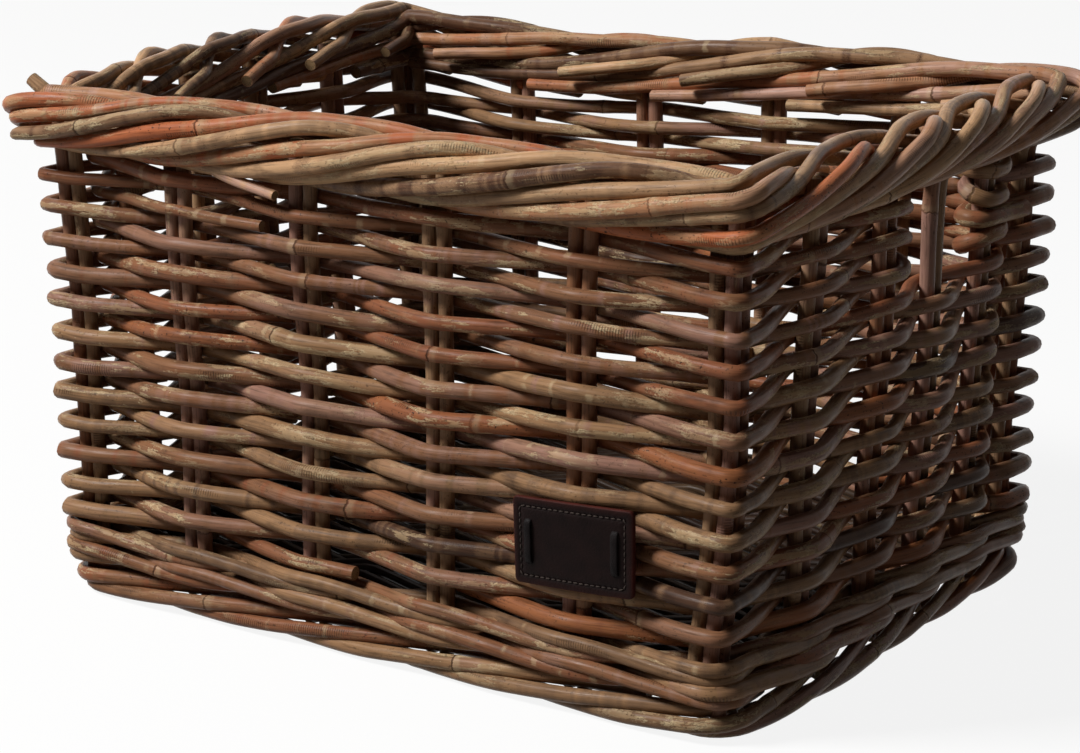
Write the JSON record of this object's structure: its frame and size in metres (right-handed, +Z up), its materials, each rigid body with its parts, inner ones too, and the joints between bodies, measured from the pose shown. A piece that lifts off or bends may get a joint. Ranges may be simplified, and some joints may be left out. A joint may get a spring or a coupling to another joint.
{
  "type": "wicker bicycle basket",
  "caption": "Rectangular bicycle basket of thick woven rattan rods, with a rolled rim, a foot border, a hand hole in each short wall and a small leather label.",
  "frame": {"origin": "on the ground, under the middle of the basket", "axes": "+X along the long walls, to the right as seen from the front; +Y from the front wall with the label to the back wall; +Z up"},
  "size_m": [0.4414, 0.331, 0.2619],
  "materials": {
    "weaving_rods": "satin",
    "stakes": "satin",
    "borders": "satin",
    "base": "matte",
    "label_leather": "satin",
    "lace_leather": "satin"
  },
  "bodies": {
    "root": {"foot_border": "borders", "base_wale": "borders", "rim_lower_band": "borders", "rim_upper_band": "borders", "base_panel": "base", "base_stick_1": "stakes", "base_stick_2": "stakes", "base_stick_3": "stakes", "base_stick_4": "stakes", "base_stick_5": "stakes", "base_stick_6": "stakes", "stakes_front_1": "stakes", "stakes_front_2": "stakes", "stakes_front_3": "stakes", "stakes_front_4": "stakes", "stakes_right_1": "stakes", "stakes_right_2": "stakes", "stakes_right_3": "stakes", "stakes_right_4": "stakes", "stakes_back_1": "stakes", "stakes_back_2": "stakes", "stakes_back_3": "stakes", "stakes_back_4": "stakes", "stakes_left_1": "stakes", "stakes_left_2": "stakes", "stakes_left_3": "stakes", "stakes_left_4": "stakes", "corner_stakes_front_left": "stakes", "corner_liner_front_left": "stakes", "corner_stakes_front_right": "stakes", "corner_liner_front_right": "stakes", "corner_stakes_back_left": "stakes", "corner_liner_back_left": "stakes", "corner_stakes_back_right": "stakes", "corner_liner_back_right": "stakes", "weaver_01": "weaving_rods", "weaver_02": "weaving_rods", "weaver_03": "weaving_rods", "weaver_04": "weaving_rods", "weaver_05": "weaving_rods", "weaver_06": "weaving_rods", "weaver_07": "weaving_rods", "weaver_08": "weaving_rods", "weaver_09": "weaving_rods", "weaver_10": "weaving_rods", "weaver_11": "weaving_rods", "weaver_12": "weaving_rods", "weaver_13": "weaving_rods", "weaver_14": "weaving_rods", "weaver_15": "weaving_rods", "weaver_16": "weaving_rods", "weaver_17": "weaving_rods", "weaver_18": "weaving_rods", "hand_hole_weaver_front_1": "weaving_rods", "hand_hole_weaver_front_2": "weaving_rods", "hand_hole_weaver_back_1": "weaving_rods", "hand_hole_weaver_back_2": "weaving_rods", "label": "label_leather", "label_lace_left": "lace_leather", "label_lace_right": "lace_leather"}
  },
  "joints": []
}
